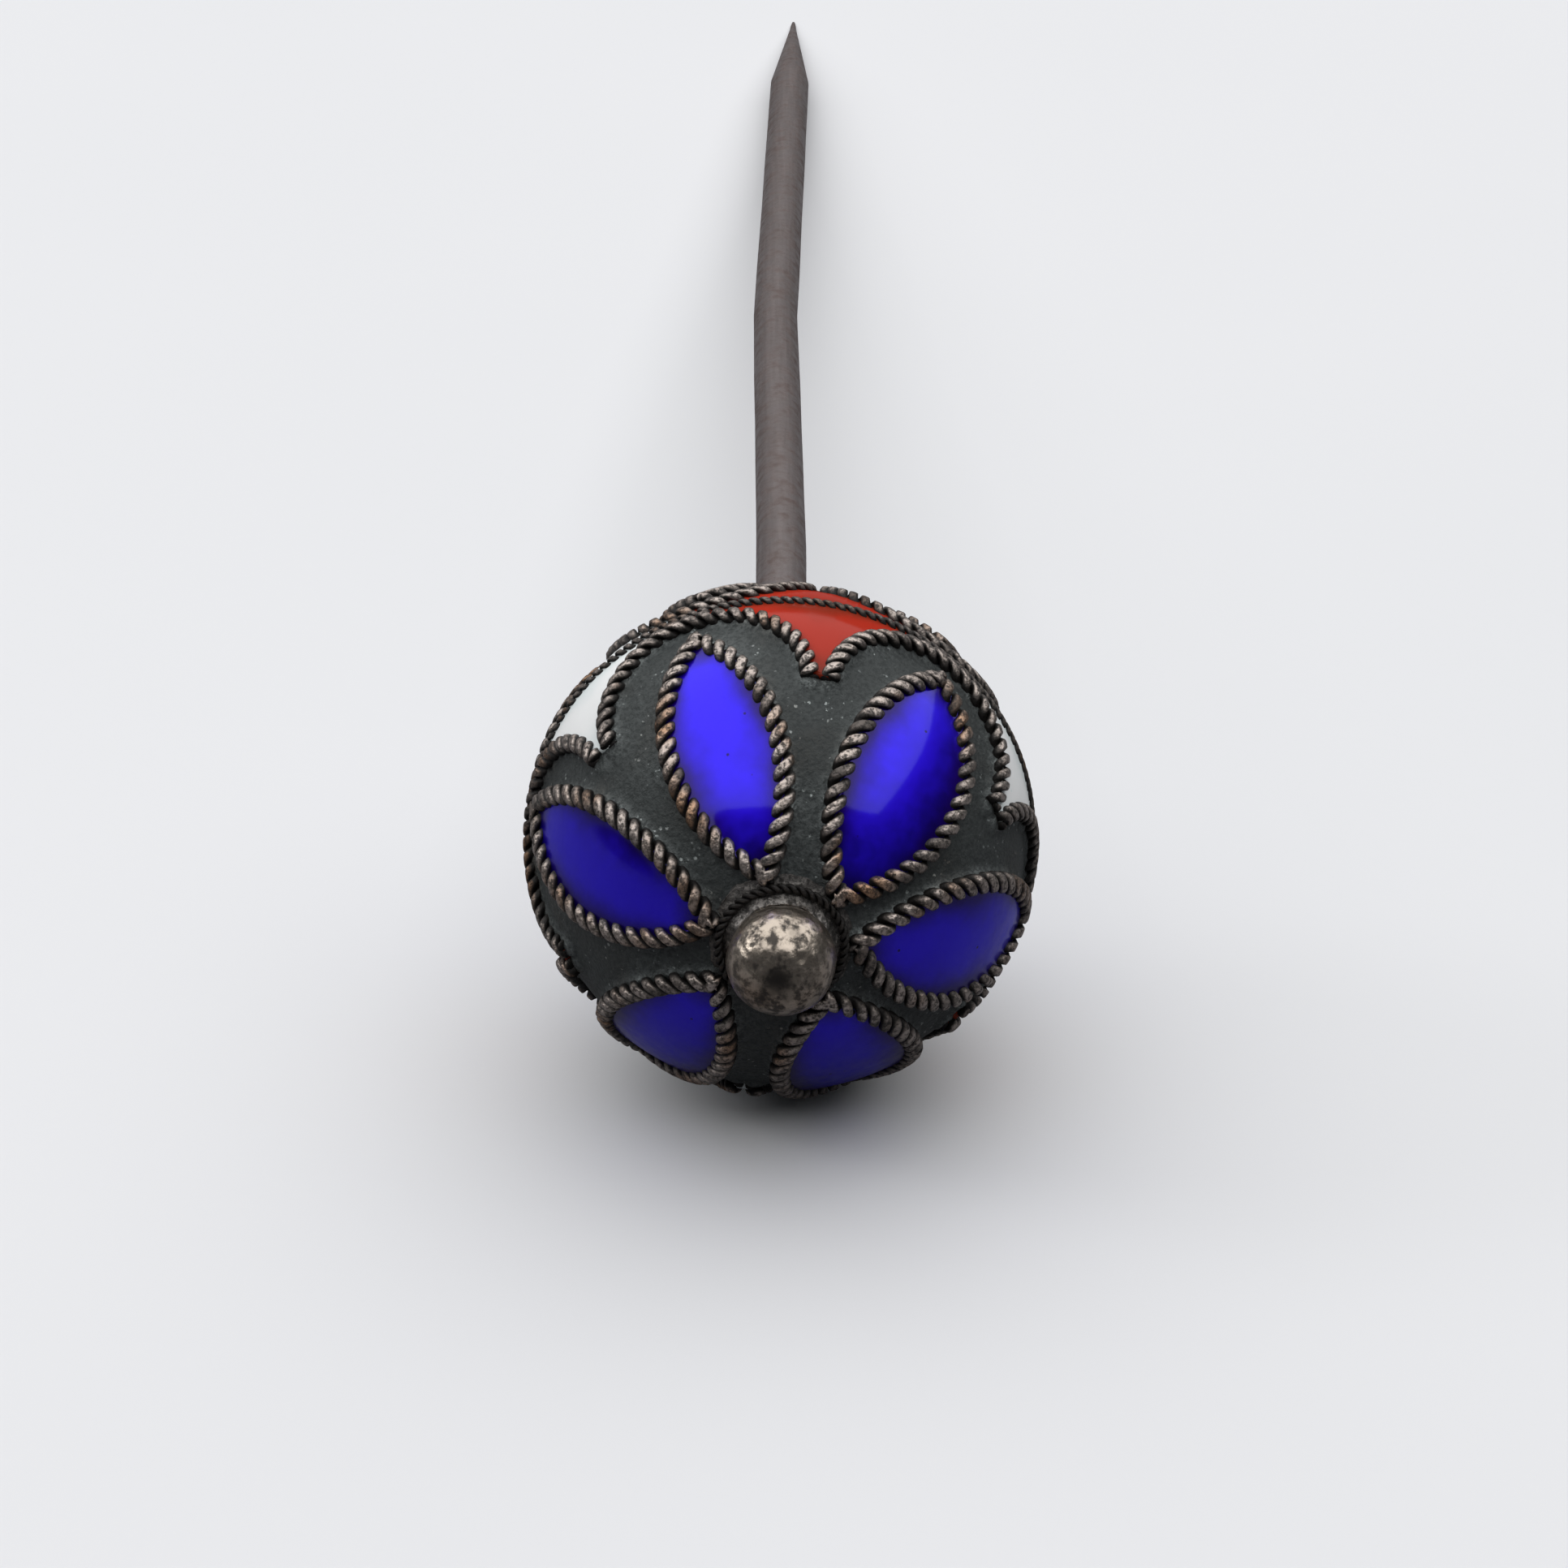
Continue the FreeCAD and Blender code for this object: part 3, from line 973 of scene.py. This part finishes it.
finial_finish = silver(
    "rubbed silver bead",
    handled_bead,
    dark=(0.016, 0.013, 0.011, 1),
    bare=(0.58, 0.50, 0.42, 1),
    warm=(0.40, 0.31, 0.24, 1),
    tarnish=0.40,
    specks=0.03,
    roughness=0.30,
    grain=0.40,
    grain_scale=3600.0,
)
silvers = (wire_finish, ground_finish, solder_finish, finial_finish)
print("silver finishes:", [finish.name for finish in silvers])


# %% [markdown]
# ## Enamel
# Blue enamel is clear glass over silver: it glows where light comes back through it, and is
# deeper where it is thick against the wires. Near the wires every enamel is also darkened with
# painted shade, the shade that the wires cast. The red and white are cloudy glass. All have a
# fire-polished skin, which the coat gives.

# %% Enamel finishes
def enamel(name, heart, deep, lap, coat, roughness, wave, skin, foil=0.0):
    """heart is the open colour, deep the colour near the wires, which stands for thick glass and
    painted shade of the wires, lap where it thins on them.

    foil is how much bright silver shows through the glass, as a tinted metal would, and skin
    is the roughness of the fire-polished coat.
    """
    material, nodes, links, shader = new_material(name)
    here = object_coordinates(nodes)
    cloud = noise_at(nodes, links, here, 900.0, 3.0)
    uneven = maths(nodes, links, "MULTIPLY_ADD", cloud, 0.6, -0.30)
    edge = maths(nodes, links, "ADD", attribute(nodes, "rim"), uneven)
    # the colour darkens towards the cell's rim: thicker glass there, and painted shade of the wires
    thick_glass_and_shade = map_range(nodes, links, edge, -0.05, 0.78)
    lapping = map_range(nodes, links, edge, 0.96, 1.12)
    colour = mix_colour(nodes, links, thick_glass_and_shade, heart, deep)
    colour = mix_colour(nodes, links, lapping, colour, lap)
    bubbles = nodes.new("ShaderNodeTexVoronoi")
    links.new(here, bubbles.inputs["Vector"])
    bubbles.inputs["Scale"].default_value = 1500.0
    speck = map_range(nodes, links, bubbles.outputs["Distance"], 0.075, 0.035)
    links.new(mix_colour(nodes, links, speck, colour, deep), shader.inputs["Base Color"])
    shader.inputs["Metallic"].default_value = foil
    shader.inputs["Coat Weight"].default_value = coat
    shader.inputs["Coat Roughness"].default_value = skin
    shader.inputs["Specular IOR Level"].default_value = 0.0
    fine = noise_at(nodes, links, here, 2600.0, 3.0)
    uneven_skin = map_range(nodes, links, fine, 0.3, 0.7, roughness, roughness + 0.12)
    links.new(uneven_skin, shader.inputs["Roughness"])
    links.new(bump(nodes, links, cloud, wave, 0.06 * mm), shader.inputs["Normal"])
    return material


blue_finish = enamel(
    "clear cobalt enamel",
    heart=(0.030, 0.007, 0.92, 1),
    deep=(0.012, 0.000, 0.14, 1),
    lap=(0.05, 0.11, 0.38, 1),
    coat=0.60,
    roughness=0.30,
    wave=0.16,
    skin=0.08,
    foil=0.82,
)
red_finish = enamel(
    "coral red enamel",
    heart=(0.46, 0.032, 0.016, 1),
    deep=(0.24, 0.028, 0.012, 1),
    lap=(0.28, 0.075, 0.045, 1),
    coat=0.30,
    roughness=0.34,
    wave=0.20,
    skin=0.10,
)
white_finish = enamel(
    "milky white enamel",
    heart=(0.99, 1.0, 1.0, 1),
    deep=(0.86, 0.92, 0.92, 1),
    lap=(0.42, 0.46, 0.44, 1),
    coat=0.30,
    roughness=0.30,
    wave=0.15,
    skin=0.10,
)
glasses = (blue_finish, red_finish, white_finish)
print("enamels:", [finish.name for finish in glasses])


# %% [markdown]
# ## The pin's steel
# Drawn wire keeps fine scratches along its length, and an old pin has browned. Noise that is
# stretched along the pin gives the scratches.

# %% The pin's finish
def browned_steel():
    material, nodes, links, shader = new_material("browned steel")
    here = object_coordinates(nodes)
    stretch = nodes.new("ShaderNodeMapping")
    links.new(here, stretch.inputs["Vector"])
    stretch.inputs["Scale"].default_value = (1.0, 0.03, 1.0)
    scratches = noise_at(nodes, links, stretch.outputs["Vector"], 9000.0, 4.0)
    spots = noise_at(nodes, links, here, 1900.0, 5.0, 0.70)
    pits = placed(nodes, grain_group, Scale=7000.0, Specks=0.06)
    rust = map_range(nodes, links, spots, 0.36, 0.70)
    steel = mix_colour(nodes, links, scratches, (0.20, 0.172, 0.168, 1), (0.36, 0.315, 0.312, 1))
    brown = mix_colour(nodes, links, scratches, (0.105, 0.078, 0.072, 1), (0.19, 0.142, 0.132, 1))
    links.new(mix_colour(nodes, links, rust, steel, brown), shader.inputs["Base Color"])
    shader.inputs["Metallic"].default_value = 0.75
    links.new(map_range(nodes, links, rust, 0.0, 1.0, 0.38, 0.60), shader.inputs["Roughness"])
    along = bump(nodes, links, scratches, 0.30, 0.02 * mm)
    pitted = bump(nodes, links, pits.outputs["Height"], 0.30, 0.03 * mm, along)
    links.new(pitted, shader.inputs["Normal"])
    return material


pin_finish = browned_steel()
print("pin's finish:", pin_finish.name)


# %% Give every piece its finish
finishes = {
    "ground_silver": ground_finish,
    "wire_silver": wire_finish,
    "solder_silver": solder_finish,
    "finial_silver": finial_finish,
    "pin_steel": pin_finish,
    "blue_enamel": blue_finish,
    "red_enamel": red_finish,
    "white_enamel": white_finish,
}


def paint(piece, material):
    piece.data.materials.clear()
    piece.data.materials.append(material)


pieces = ropes + enamels + domes + [finial, base, collar, pin]
for piece in pieces:
    paint(piece, finishes[piece["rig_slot"]])
print("finished pieces:", len(pieces))

# %% [markdown]
# ## The table
# The pin lies on a pale table. The head's wires and the point both touch it, so it slopes a
# little against the pin's own axis. It looks pale, but sends less light back to the head than
# a pale table would, as if dark card were held beside the head.

# %% Lay the table
head_reach = petal_track + petal_wire_radius
point = Vector(((pin_low.x + pin_high.x) / 2, pin_high.y, 0))
table_half_width = 1.2
slope = math.asin(head_reach / (point.y - head_centre.y))
bm = bmesh.new()
bmesh.ops.create_grid(bm, x_segments=2, y_segments=2, size=table_half_width)
down = Vector((0, math.sin(slope), -math.cos(slope)))
tilt = Matrix.Translation(head_centre + down * head_reach) @ Matrix.Rotation(slope, 4, "X")
bmesh.ops.transform(bm, matrix=tilt, verts=bm.verts)
mesh = bpy.data.meshes.new("table")
bm.to_mesh(mesh)
bm.free()
table = bpy.data.objects.new("table", mesh)
bpy.context.scene.collection.objects.link(table)
material, nodes, links, shader = new_material("pale table")
shade = noise_at(nodes, links, object_coordinates(nodes), 14.0, 3.0)
seen = mix_colour(nodes, links, shade, (0.77, 0.78, 0.80, 1), (0.83, 0.83, 0.85, 1))
table_as_light = (0.17, 0.17, 0.18, 1)
path = nodes.new("ShaderNodeLightPath")
table_colour = mix_colour(nodes, links, path.outputs["Is Camera Ray"], table_as_light, seen)
links.new(table_colour, shader.inputs["Base Color"])
shader.inputs["Roughness"].default_value = 0.75
table.data.materials.append(material)
print("table slope, degrees:", round(math.degrees(slope), 2))

# %% [markdown]
# ## Light and camera
# One large soft light hangs over the pin and a little behind it, as a window in a ceiling
# would. It gives the blue glass its glow and leaves the side towards the viewer darker. One
# weak light at the left and a dim room keep the shadows open.

# %% Lights
def soft_light(name, place, size, power, target):
    data = bpy.data.lights.new(name, "AREA")
    data.shape = "SQUARE"
    data.size = size
    data.energy = power
    lamp = bpy.data.objects.new(name, data)
    lamp.location = place
    lamp.rotation_euler = (target - place).to_track_quat("-Z", "Y").to_euler()
    bpy.context.scene.collection.objects.link(lamp)


under_window = head_centre + Vector((0.0, 0.10, 0.0))
window_height = 0.36
soft_light("window", under_window + Vector((0, 0, window_height)), 1.10, 4.9, under_window)
soft_light("left fill", head_centre + Vector((-0.45, 0.02, 0.22)), 0.16, 0.3, head_centre)
world = bpy.data.worlds.new("room")
world.use_nodes = True
nodes, links = world.node_tree.nodes, world.node_tree.links
path = nodes.new("ShaderNodeLightPath")
room_as_light, room_seen = (0.040, 0.043, 0.046, 1), (0.76, 0.77, 0.79, 1)
room = mix_colour(nodes, links, path.outputs["Is Camera Ray"], room_as_light, room_seen)
links.new(room, nodes["Background"].inputs["Color"])
bpy.context.scene.world = world
bpy.context.scene.view_settings.view_transform = "Standard"
print("lights:", len(bpy.data.lights))

# %% Camera
# Angles are in degrees. The camera aims a little above the head, which so sits low in the frame.
camera_height = 24.3        # above the pin's axis, seen from the head
camera_distance = 120 * mm
lens = 111.80               # mm, on a sensor 36 mm wide
aim_above = 0.6493
aim_right = 0.0334
data = bpy.data.cameras.new("camera")
data.sensor_width = 36.0
data.lens = lens
data.clip_start, data.clip_end = 0.005, 10
camera = bpy.data.objects.new("camera", data)
rise = math.radians(camera_height)
camera.location = head_centre + camera_distance * Vector((0, -math.cos(rise), math.sin(rise)))
aim = Matrix.Rotation(math.radians(aim_above), 3, "X")
look = Matrix.Rotation(math.pi / 2 - rise, 3, "X")
swing = Matrix.Rotation(-math.radians(aim_right), 3, "Y")
camera.rotation_euler = (look @ aim @ swing).to_euler()
bpy.context.scene.collection.objects.link(camera)
bpy.context.scene.camera = camera
print("lens, mm:", round(data.lens, 1))
